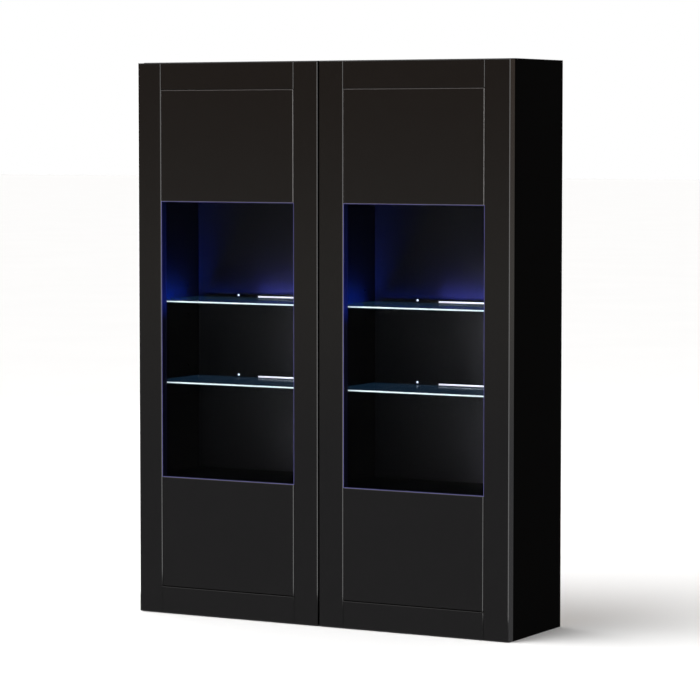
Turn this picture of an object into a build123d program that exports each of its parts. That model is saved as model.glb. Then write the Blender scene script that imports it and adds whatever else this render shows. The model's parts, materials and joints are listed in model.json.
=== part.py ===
"""Wall-hung china cabinet: two framed doors with windows, lit glass shelves behind them.

Millimetres, +Z up, +X to the viewer's right, the doors face -Y.
The origin is the middle of the cabinet's footprint, at the height of its underside.
Each bay is half of the cabinet: -1 is the left bay, +1 the right one.
"""
import os

from build123d import *

os.makedirs("parts", exist_ok=True)

# ---------------------------------------------------------------- driving dimensions
overall_width = 900.0
overall_height = 1200.0
overall_depth = 250.0           # doors included

board = 16.0                    # carcass board thickness
back_thickness = 3.0            # hardboard back
back_recess = 25.0              # from the carcass's rear edge to the back's rear face
groove_depth = 6.0              # groove that holds the back
fit = 0.1                       # loose fit of a panel in its groove
snug = 0.05                     # radial clearance of a pin, screw or dowel in its hole

door_thickness = 22.0
door_to_carcass = 3.0           # air that a push-to-open door needs
centre_gap = 4.0                # between the two doors
end_gap = 1.5                   # door short of the cabinet's top and underside
frame_width = 58.0              # stiles and rails
tongue_thickness = 6.0
tongue_length = 7.0
tongue_relief = 1.0             # groove deeper than the tongue
panel_shadow_gap = 0.8          # line between a panel and the frame
edge_break = 1.2                # bevel on every front edge of the door's boards

window_bottom = 300.0
window_from_top = 300.0         # window's upper edge below the cabinet's top
pane_thickness = 4.0
pane_front_lip = 10.0           # wood in front of the pane
rebate_width = 10.0
pane_clearance = 2.0            # pane short of its rebate, all round

shelf_thickness = 5.0
upper_shelf_share = 0.64        # shelf tops, as shares of the window's height
lower_shelf_share = 0.345
shelf_end_clearance = 2.0
shelf_front_setback = 2.0
shelf_rear_gap = 12.0           # room for the light clip behind the glass

hinge_end_distance = 110.0      # first and last hinge from the cabinet's ends
hinge_axis_inset = 7.0          # from the door's outer edge
hinge_axis_depth = 8.0          # below the door's inner face
cup_radius = 17.5
cup_edge = 3.0                  # wood between the cup and the door's edge
cup_depth = 12.5
cup_wall = 0.8
cup_floor = 1.0
pin_radius = 1.25
arm_running_clearance = 0.05

latch_from_top = 200.0
plunger_radius = 4.0
plunger_length = 57.0
latch_clearance = 0.08
latch_air = 0.3                 # plunger tip to the closed door

# ---------------------------------------------------------------- derived planes
half_width = overall_width / 2
window_top = overall_height - window_from_top
window_height = window_top - window_bottom
upper_shelf_top = window_bottom + upper_shelf_share * window_height
lower_shelf_top = window_bottom + lower_shelf_share * window_height
latch_height = overall_height - latch_from_top
hinge_heights = (hinge_end_distance, overall_height / 2, overall_height - hinge_end_distance)
door_front = -overall_depth / 2
door_back = door_front + door_thickness
carcass_front = door_back + door_to_carcass
carcass_rear = overall_depth / 2
back_rear = carcass_rear - back_recess
back_front = back_rear - back_thickness
side_inner = half_width - board
partition_inner = board
ceiling = overall_height - board
floor = board
door_bottom = end_gap
door_top = overall_height - end_gap
door_inner_edge = centre_gap / 2
hinge_axis_x = half_width - hinge_axis_inset
hinge_axis_y = door_back - hinge_axis_depth

bays = {"left": -1, "right": 1}


# ---------------------------------------------------------------- small helpers
def slab(x, y, z, mode=Mode.ADD):
    """A box between pairs of coordinates, in any order."""
    with Locations((sum(x) / 2, sum(y) / 2, sum(z) / 2)):
        Box(abs(x[1] - x[0]), abs(y[1] - y[0]), abs(z[1] - z[0]), mode=mode)


def rod(start, direction, radius, length, mode=Mode.ADD):
    """A cylinder that starts at a point and runs along a direction."""
    with Locations(Plane(origin=start, z_dir=direction)):
        Cylinder(radius, length, align=(Align.CENTER, Align.CENTER, Align.MIN), mode=mode)


def save(piece, name):
    """Label a finished piece and write its file."""
    piece.part.label = name
    export_step(piece.part, f"parts/{name}.step")


def on_bay(bay, *distances):
    """X coordinates at distances from the cabinet's centre plane, on one bay's side."""
    return tuple(bay * distance for distance in distances)


def from_edge(bay, *insets):
    """X coordinates at distances in from the cabinet's outer face, on one bay's side."""
    return tuple(bay * (half_width - inset) for inset in insets)


# ---------------------------------------------------------------- cam and dowel joints
# A cam joint's plane: origin on the joint face in the middle of the board's thickness,
# local X into the board that holds the cam, local Z out of the face where the cam shows.
cam_radius = 7.5
cam_depth = 12.5
cam_backset = 34.0
bolt_radius = 3.0
bolt_bite = 10.0                # into the board that holds the bolt
dowel_radius = 4.0
dowel_half = 11.0               # into a board's face
dowel_deep = 20.0               # into a board's end
cam_setback = 40.0              # from the carcass front, and from the back
dowel_setback = 72.0
cam_rows = (carcass_front + cam_setback, back_front - cam_setback)
dowel_rows = (carcass_front + dowel_setback, back_front - dowel_setback)
batten_thickness = back_recess
batten_height = 80.0
batten_middle = carcass_rear - batten_thickness / 2

cam_joints = []                 # (board with the cam, board with the bolt, plane)
dowel_joints = []               # (board whose end is joined, board whose face is joined, plane)

upper_board_z = (window_top, window_top + board)
lower_board_z = (window_bottom - board, window_bottom)
batten_heights = {"upper": ceiling - batten_height / 2, "lower": floor + batten_height / 2}


def join_end(end_board, face_board, origin_x, origin_z, into, cam_face):
    """Two cams and two dowels where a board's end meets another board's face."""
    for row in cam_rows:
        plane = Plane(origin=(origin_x, row, origin_z), x_dir=into, z_dir=cam_face)
        cam_joints.append((end_board, face_board, plane))
    for row in dowel_rows:
        plane = Plane(origin=(origin_x, row, origin_z), x_dir=into, z_dir=cam_face)
        dowel_joints.append((end_board, face_board, plane))


for side, bay in bays.items():
    outward, inward = (bay, 0, 0), (-bay, 0, 0)
    up, down = (0, 0, 1), (0, 0, -1)
    side_panel = f"{side}_side_panel"
    partition = f"{side}_partition_board"
    join_end("top_panel", side_panel, bay * side_inner, ceiling + board / 2, inward, down)
    join_end("bottom_panel", side_panel, bay * side_inner, floor - board / 2, inward, up)
    join_end(partition, "top_panel", bay * board / 2, ceiling, down, outward)
    join_end(partition, "bottom_panel", bay * board / 2, floor, up, outward)
    for shelf_name, heights, cam_face in (("upper", upper_board_z, up), ("lower", lower_board_z, down)):
        fixed = f"{side}_{shelf_name}_board"
        middle = sum(heights) / 2
        join_end(fixed, side_panel, bay * side_inner, middle, inward, cam_face)
        join_end(fixed, partition, bay * partition_inner, middle, outward, cam_face)
    for height in batten_heights.values():
        ends = ((side_panel, side_inner, inward), (partition, partition_inner, outward))
        for face_board, x, into in ends:
            plane = Plane(origin=(bay * x, batten_middle, height), x_dir=into, z_dir=up)
            dowel_joints.append(("hanging_battens", face_board, plane))


def cylinder_in(plane, offset, axis, radius, length, mode):
    """A cylinder placed in a joint's own frame."""
    start = plane.from_local_coords(Vector(*offset))
    direction = plane.from_local_coords(Vector(*axis)) - plane.origin
    rod(start, direction, radius, length, mode)


def cut_joints(name):
    """Bore one board for every cam, bolt and dowel that enters it."""
    for end_board, face_board, plane in cam_joints:
        if name == end_board:
            cam_centre = (cam_backset, 0, board / 2)
            cylinder_in(plane, cam_centre, (0, 0, -1), cam_radius + snug, cam_depth, Mode.SUBTRACT)
            cylinder_in(plane, (0, 0, 0), (1, 0, 0), bolt_radius + snug, cam_backset, Mode.SUBTRACT)
        if name == face_board:
            cylinder_in(plane, (0, 0, 0), (-1, 0, 0), bolt_radius + snug, bolt_bite, Mode.SUBTRACT)
    for end_board, face_board, plane in dowel_joints:
        if name == end_board:
            cylinder_in(plane, (0, 0, 0), (1, 0, 0), dowel_radius + snug, dowel_deep, Mode.SUBTRACT)
        if name == face_board:
            cylinder_in(plane, (0, 0, 0), (-1, 0, 0), dowel_radius + snug, dowel_half, Mode.SUBTRACT)


with BuildPart() as cam_locks:
    for end_board, face_board, plane in cam_joints:
        cylinder_in(plane, (cam_backset, 0, board / 2), (0, 0, -1), cam_radius, cam_depth - fit, Mode.ADD)
save(cam_locks, "cam_locks")

with BuildPart() as cam_bolts:
    for end_board, face_board, plane in cam_joints:
        bolt_length = bolt_bite - fit + cam_backset - cam_radius - fit
        cylinder_in(plane, (fit - bolt_bite, 0, 0), (1, 0, 0), bolt_radius, bolt_length, Mode.ADD)
save(cam_bolts, "cam_bolts")

with BuildPart() as dowels:
    for end_board, face_board, plane in dowel_joints:
        dowel_length = dowel_half + dowel_deep - 2 * fit
        cylinder_in(plane, (fit - dowel_half, 0, 0), (1, 0, 0), dowel_radius, dowel_length, Mode.ADD)
save(dowels, "dowels")

# ---------------------------------------------------------------- shelf pins and their holes
pin_hole_radius = 2.5
pin_hole_depth = 9.0
pin_reach = 8.0                 # out of the wall, under the glass
pin_collar_radius = 4.0
pin_collar = 1.2
pin_pitch = 32.0                # height step of the spare holes
pin_front_setback = 35.0
pin_rear_setback = 45.0         # clear of the light clips
pin_rows = (carcass_front + pin_front_setback, back_front - pin_rear_setback)
shelf_tops = {"upper": upper_shelf_top, "lower": lower_shelf_top}


def pin_height(shelf_top):
    """Height of the pins that carry a glass shelf."""
    return shelf_top - shelf_thickness - pin_hole_radius


def bore_pin_holes(wall_x, direction):
    """The holes in use and one spare above and below each, in both rows."""
    for shelf_top in shelf_tops.values():
        for step in (-1, 0, 1):
            for row in pin_rows:
                start = (wall_x, row, pin_height(shelf_top) + step * pin_pitch)
                rod(start, direction, pin_hole_radius + snug, pin_hole_depth, Mode.SUBTRACT)


with BuildPart() as shelf_pins:
    for bay in bays.values():
        for wall_x, inside in ((side_inner, -1), (partition_inner, 1)):
            for shelf_top in shelf_tops.values():
                for row in pin_rows:
                    height = pin_height(shelf_top)
                    foot = (bay * (wall_x - inside * (pin_hole_depth - fit)), row, height)
                    direction = (bay * inside, 0, 0)
                    rod(foot, direction, pin_hole_radius, pin_hole_depth - fit + pin_reach)
                    rod((bay * wall_x, row, height), direction, pin_collar_radius, pin_collar)
save(shelf_pins, "shelf_pins")

# ---------------------------------------------------------------- hinge hardware sizes
cup_centre = cup_edge + cup_radius
wing_width = 17.0
wing_half_height = 29.0
wing_thickness = 1.2
cup_screw_offset = 24.0
cup_screw_radius = 1.75
cup_screw_length = 11.0
cup_screw_head = 3.4
cup_screw_head_height = 1.0
arm_half_width = 4.0
arm_eye_radius = 2.2
arm_top_drop = 0.3              # the hook's upper face below the axis
arm_sheet = 1.6
arm_upright = 2.0
arm_stand_off = 1.0             # between the upright and the side panel
plate_sheet = 2.0
plate_core = 6.0                # plate's height at its middle
plate_core_half = 5.0
plate_core_y = (24.0, 50.0)     # behind the carcass front
plate_wing_y = (30.0, 44.0)
plate_half_height = 24.0
plate_screw_offset = 16.0
plate_screw_y = 37.0
plate_screw_radius = 2.5
plate_screw_depth = 11.0
plate_screw_head = 4.0
plate_screw_head_height = 1.6
arm_clearance = 0.2             # arm over the plate's core
arm_cover = 1.5                 # sheet of the arm's channel
arm_channel_y = (8.0, 52.0)
arm_screw_y = 44.0
arm_screw_radius = 2.0
arm_screw_head = 3.5
arm_screw_depth = 3.0

# ---------------------------------------------------------------- carcass
partition_bolt_setback = 25.0
partition_bolt_rows = (carcass_front + partition_bolt_setback, back_front - partition_bolt_setback)
partition_bolt_end_distance = 150.0
partition_bolt_heights = (partition_bolt_end_distance, overall_height - partition_bolt_end_distance)
partition_bolt_radius = 3.0
partition_bolt_head = 6.0
partition_bolt_head_height = 1.4


def back_groove(x, z):
    """Groove for the back, as a box to cut."""
    slab(x, (back_front - fit, back_rear + fit), z, Mode.SUBTRACT)


for side, bay in bays.items():
    panel = f"{side}_side_panel"
    with BuildPart() as side_panel:
        slab(on_bay(bay, side_inner, half_width), (carcass_front, carcass_rear), (0, overall_height))
        groove_x = on_bay(bay, side_inner, side_inner + groove_depth)
        back_groove(groove_x, (floor - groove_depth, ceiling + groove_depth))
        cut_joints(panel)
        bore_pin_holes(bay * side_inner, (bay, 0, 0))
        for height in hinge_heights:
            for offset in (-plate_screw_offset, plate_screw_offset):
                start = (bay * side_inner, carcass_front + plate_screw_y, height + offset)
                rod(start, (bay, 0, 0), plate_screw_radius + snug, plate_screw_depth, Mode.SUBTRACT)
    save(side_panel, panel)

    name = f"{side}_partition_board"
    with BuildPart() as partition_board:
        slab(on_bay(bay, 0, partition_inner), (carcass_front, carcass_rear), (floor, ceiling))
        back_groove(on_bay(bay, partition_inner - groove_depth, partition_inner), (floor, ceiling))
        cut_joints(name)
        bore_pin_holes(bay * partition_inner, (-bay, 0, 0))
        for row in partition_bolt_rows:
            for height in partition_bolt_heights:
                rod((0, row, height), (bay, 0, 0), partition_bolt_radius + snug, board, Mode.SUBTRACT)
    save(partition_board, name)

for name, z, groove_z in (
    ("top_panel", (ceiling, overall_height), (ceiling, ceiling + groove_depth)),
    ("bottom_panel", (0, floor), (floor - groove_depth, floor)),
):
    with BuildPart() as end_panel:
        slab((-side_inner, side_inner), (carcass_front, carcass_rear), z)
        back_groove((-side_inner, side_inner), groove_z)
        cut_joints(name)
    save(end_panel, name)

with BuildPart() as partition_bolts:
    for row in partition_bolt_rows:
        for height in partition_bolt_heights:
            rod((-board, row, height), (1, 0, 0), partition_bolt_radius, 2 * board)
            for bay in bays.values():
                head = (bay * board, row, height)
                rod(head, (bay, 0, 0), partition_bolt_head, partition_bolt_head_height)
save(partition_bolts, "partition_bolts")

# ---------------------------------------------------------------- backs, battens and grommets
grommet_radius = 12.0
grommet_flange = 15.0
grommet_flange_thickness = 1.5
grommet_bore = 8.0
grommet_inset = 60.0            # from the side panel's inner face
grommet_above_board = 60.0
grommet_height = upper_board_z[1] + grommet_above_board
wall_hole_radius = 3.5
wall_hole_x = 300.0
back_tongue = groove_depth - fit

for side, bay in bays.items():
    name = f"{side}_back_panel"
    with BuildPart() as back_panel:
        slab(
            on_bay(bay, partition_inner - back_tongue, side_inner + back_tongue),
            (back_front, back_rear),
            (floor - back_tongue, ceiling + back_tongue),
        )
        for height in batten_heights.values():
            hole_start = (bay * wall_hole_x, back_front, height)
            rod(hole_start, (0, 1, 0), wall_hole_radius, back_thickness, Mode.SUBTRACT)
        grommet_start = (bay * (side_inner - grommet_inset), back_front, grommet_height)
        rod(grommet_start, (0, 1, 0), grommet_radius + snug, back_thickness, Mode.SUBTRACT)
    save(back_panel, name)

with BuildPart() as hanging_battens:
    for bay in bays.values():
        for height in batten_heights.values():
            z = (height - batten_height / 2, height + batten_height / 2)
            slab(on_bay(bay, partition_inner, side_inner), (back_rear, carcass_rear), z)
            hole_start = (bay * wall_hole_x, back_rear, height)
            rod(hole_start, (0, 1, 0), wall_hole_radius, batten_thickness, Mode.SUBTRACT)
    cut_joints("hanging_battens")
save(hanging_battens, "hanging_battens")

with BuildPart() as cable_grommets:
    for bay in bays.values():
        x = bay * (side_inner - grommet_inset)
        rod((x, back_front, grommet_height), (0, 1, 0), grommet_radius, back_thickness)
        flange_start = (x, back_front - grommet_flange_thickness, grommet_height)
        rod(flange_start, (0, 1, 0), grommet_flange, grommet_flange_thickness)
        grommet_length = back_thickness + grommet_flange_thickness
        rod(flange_start, (0, 1, 0), grommet_bore, grommet_length, Mode.SUBTRACT)
save(cable_grommets, "cable_grommets")

# ---------------------------------------------------------------- fixed boards and glass shelves
for side, bay in bays.items():
    for level, heights in (("upper", upper_board_z), ("lower", lower_board_z)):
        name = f"{side}_{level}_board"
        with BuildPart() as fixed_board:
            slab(on_bay(bay, partition_inner, side_inner), (carcass_front, back_front), heights)
            cut_joints(name)
        save(fixed_board, name)
    for level, shelf_top in shelf_tops.items():
        with BuildPart() as glass_shelf:
            slab(
                on_bay(bay, partition_inner + shelf_end_clearance, side_inner - shelf_end_clearance),
                (carcass_front + shelf_front_setback, back_front - shelf_rear_gap),
                (shelf_top - shelf_thickness, shelf_top),
            )
            chamfer(glass_shelf.edges(), length=edge_break / 2)
        save(glass_shelf, f"{side}_{level}_glass_shelf")

# ---------------------------------------------------------------- shelf lights
bar_half_length = 58.0
bar_from_left = 239.0           # bar's middle, from the left edge of each bay
clip_grip = 6.0                 # over the glass
clip_back = 8.0                 # behind the glass
clip_above = 5.0
clip_below = 2.5
lens_depth = 0.8
lens_margin = 0.8
spot_from_left = 121.0
spot_radius = 3.0
spot_length = 4.0
spot_above = 4.0
shelf_rear = back_front - shelf_rear_gap
bay_left_edges = (-half_width, 0.0)

with BuildPart() as led_clips:
    for left_edge in bay_left_edges:
        middle = left_edge + bar_from_left
        for shelf_top in shelf_tops.values():
            x = (middle - bar_half_length, middle + bar_half_length)
            y = (shelf_rear - clip_grip, shelf_rear + clip_back)
            slab(x, y, (shelf_top - shelf_thickness - clip_below, shelf_top + clip_above))
            slot_z = (shelf_top - shelf_thickness - snug, shelf_top + snug)
            slab(x, (y[0], shelf_rear + snug), slot_z, Mode.SUBTRACT)
save(led_clips, "led_clips")

with BuildPart() as led_light_bars:
    for left_edge in bay_left_edges:
        middle = left_edge + bar_from_left
        for shelf_top in shelf_tops.values():
            front = shelf_rear - clip_grip
            x = (middle - bar_half_length + lens_margin, middle + bar_half_length - lens_margin)
            z = (shelf_top + lens_margin, shelf_top + clip_above - lens_margin)
            slab(x, (front - lens_depth, front), z)
save(led_light_bars, "led_light_bars")

with BuildPart() as led_spots:
    for left_edge in bay_left_edges:
        for shelf_top in shelf_tops.values():
            start = (left_edge + spot_from_left, back_front, shelf_top + spot_above)
            rod(start, (0, -1, 0), spot_radius, spot_length)
save(led_spots, "led_spots")

driver_length = 120.0
driver_width = 42.0
driver_height = 22.0
driver_ear = 9.0
driver_ear_thickness = 3.0
driver_ear_hole = 2.0
driver_corner = 4.0
driver_top_edge = 2.0
driver_to_back = 50.0
driver_x = -half_width / 2
driver_y = back_front - driver_to_back
with BuildPart() as led_driver:
    y = (driver_y - driver_width / 2, driver_y + driver_width / 2)
    base = upper_board_z[1]
    slab((driver_x - driver_length / 2, driver_x + driver_length / 2), y, (base, base + driver_height))
    fillet(led_driver.edges().filter_by(Axis.Z), radius=driver_corner)
    fillet(led_driver.faces().sort_by(Axis.Z)[-1].edges(), radius=driver_top_edge)
    ear_half = driver_length / 2 + driver_ear
    ear_y = (driver_y - driver_ear, driver_y + driver_ear)
    slab((driver_x - ear_half, driver_x + ear_half), ear_y, (base, base + driver_ear_thickness))
    for end in (-1, 1):
        hole = (driver_x + end * (driver_length / 2 + driver_ear / 2), driver_y, base)
        rod(hole, (0, 0, 1), driver_ear_hole, driver_ear_thickness, Mode.SUBTRACT)
save(led_driver, "led_driver")

# ---------------------------------------------------------------- hinges on the carcass
arm_inner = side_inner - arm_stand_off          # distance from the centre plane
arm_cover_top = board + plate_core + arm_clearance

with BuildPart() as hinge_mounting_plates:
    for bay in bays.values():
        for height in hinge_heights:
            y = (carcass_front + plate_wing_y[0], carcass_front + plate_wing_y[1])
            z = (height - plate_half_height, height + plate_half_height)
            slab(from_edge(bay, board, board + plate_sheet), y, z)
            y = (carcass_front + plate_core_y[0], carcass_front + plate_core_y[1])
            z = (height - plate_core_half, height + plate_core_half)
            slab(from_edge(bay, board, board + plate_core), y, z)
            for offset in (-plate_screw_offset, plate_screw_offset):
                start = (bay * side_inner, carcass_front + plate_screw_y, height + offset)
                rod(start, (-bay, 0, 0), plate_screw_radius + snug, plate_sheet, Mode.SUBTRACT)
            start = (bay * (side_inner - plate_core), carcass_front + arm_screw_y, height)
            rod(start, (bay, 0, 0), arm_screw_radius + snug, arm_screw_depth, Mode.SUBTRACT)
save(hinge_mounting_plates, "hinge_mounting_plates")

with BuildPart() as hinge_arms:
    for bay in bays.values():
        for height in hinge_heights:
            narrow = (height - arm_half_width, height + arm_half_width)
            wide_half = plate_core_half + arm_clearance + arm_cover
            wide = (height - wide_half, height + wide_half)
            hook_y = (hinge_axis_y - arm_top_drop - arm_sheet, hinge_axis_y - arm_top_drop)
            upright_x = (board + arm_stand_off, board + arm_stand_off + arm_upright)
            cap_y = (carcass_front + arm_channel_y[0], carcass_front + arm_channel_y[0] + 2 * arm_cover)
            channel_y = (carcass_front + arm_channel_y[0], carcass_front + arm_channel_y[1])
            eye_start = (bay * hinge_axis_x, hinge_axis_y, narrow[0])
            rod(eye_start, (0, 0, 1), arm_eye_radius, 2 * arm_half_width)
            slab(from_edge(bay, hinge_axis_inset, upright_x[1]), hook_y, narrow)
            slab(from_edge(bay, *upright_x), (hook_y[0], cap_y[1]), narrow)
            slab(from_edge(bay, upright_x[0], arm_cover_top + arm_cover), cap_y, wide)
            slab(from_edge(bay, arm_cover_top, arm_cover_top + arm_cover), channel_y, wide)
            for wall in (-1, 1):
                wall_z = (height + wall * (wide_half - arm_cover), height + wall * wide_half)
                slab(from_edge(bay, board + plate_sheet + fit, arm_cover_top), channel_y, wall_z)
            rod(eye_start, (0, 0, 1), pin_radius + arm_running_clearance, 2 * arm_half_width, Mode.SUBTRACT)
            screw_start = (bay * (half_width - arm_cover_top), carcass_front + arm_screw_y, height)
            rod(screw_start, (-bay, 0, 0), arm_screw_radius + snug, arm_cover, Mode.SUBTRACT)
save(hinge_arms, "hinge_arms")

with BuildPart() as hinge_screws:
    for bay in bays.values():
        for height in hinge_heights:
            for offset in (-plate_screw_offset, plate_screw_offset):
                y, z = carcass_front + plate_screw_y, height + offset
                foot = (bay * (side_inner + plate_screw_depth - fit), y, z)
                rod(foot, (-bay, 0, 0), plate_screw_radius, plate_screw_depth - fit + plate_sheet)
                head = (bay * (side_inner - plate_sheet), y, z)
                rod(head, (-bay, 0, 0), plate_screw_head, plate_screw_head_height)
            y = carcass_front + arm_screw_y
            foot = (bay * (side_inner - plate_core + arm_screw_depth - fit), y, height)
            shank = arm_screw_depth - fit + arm_clearance + arm_cover
            rod(foot, (-bay, 0, 0), arm_screw_radius, shank)
            head = (bay * (half_width - arm_cover_top - arm_cover), y, height)
            rod(head, (-bay, 0, 0), arm_screw_head, plate_screw_head_height)
save(hinge_screws, "hinge_screws")

# ---------------------------------------------------------------- push latches and bumpers
latch_width = 14.0
latch_tall = 20.0
latch_length = 72.0
latch_corner = 2.0
latch_setback = 1.0             # behind the carcass front
latch_centre = board + latch_width / 2
latch_bore_end = 3.0            # bore deeper than the resting plunger
strike_radius = 7.0
strike_thickness = 1.0
plunger_tip = door_back + latch_air
plunger_foot = plunger_tip + plunger_length

with BuildPart() as latch_housings:
    for bay in bays.values():
        front = carcass_front + latch_setback
        z = (latch_height - latch_tall / 2, latch_height + latch_tall / 2)
        slab(on_bay(bay, board, board + latch_width), (front, front + latch_length), z)
    fillet(latch_housings.edges().filter_by(Axis.Y), radius=latch_corner)
    for bay in bays.values():
        bore_length = plunger_foot + latch_bore_end - front
        bore_radius = plunger_radius + latch_clearance
        rod((bay * latch_centre, front, latch_height), (0, 1, 0), bore_radius, bore_length, Mode.SUBTRACT)
save(latch_housings, "latch_housings")

for side, bay in bays.items():
    with BuildPart() as plunger:
        rod((bay * latch_centre, plunger_tip, latch_height), (0, 1, 0), plunger_radius, plunger_length)
        chamfer(plunger.faces().sort_by(Axis.Y)[0].edges(), length=edge_break)
    save(plunger, f"{side}_latch_plunger")

bumper_radius = 4.0
bumper_end_distance = 60.0
bumper_heights = (bumper_end_distance, overall_height - bumper_end_distance)
with BuildPart() as door_bumpers:
    for bay in bays.values():
        for height in bumper_heights:
            start = (bay * board / 2, carcass_front, height)
            rod(start, (0, -1, 0), bumper_radius, door_to_carcass - latch_air)
save(door_bumpers, "door_bumpers")

# ---------------------------------------------------------------- doors
stile_inner = half_width - frame_width
meeting_inner = door_inner_edge + frame_width
rail_top_z = (door_top - frame_width, door_top)
rail_bottom_z = (door_bottom, door_bottom + frame_width)
door_middle = door_front + door_thickness / 2
tongue_y = (door_middle - tongue_thickness / 2, door_middle + tongue_thickness / 2)
groove_y = (tongue_y[0] - fit, tongue_y[1] + fit)
door_groove = tongue_length + tongue_relief
groove_z = (door_bottom + edge_break, door_top - edge_break)
pane_y = (door_front + pane_front_lip, door_front + pane_front_lip + pane_thickness)
rebate_y = (pane_y[0], door_back)
rebate_z = (window_bottom - rebate_width, window_top + rebate_width)
rail_dowel_rows = (-14.0, 14.0)


def rail_dowels(bay, radius, length_in, mode):
    """Dowels, or their bores, across the four corners of one door's frame."""
    for z in (sum(rail_top_z) / 2, sum(rail_bottom_z) / 2):
        for offset in rail_dowel_rows:
            for joint_x in (stile_inner, meeting_inner):
                start = (bay * joint_x - length_in, door_middle, z + offset)
                rod(start, (1, 0, 0), radius, 2 * length_in, mode)


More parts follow.
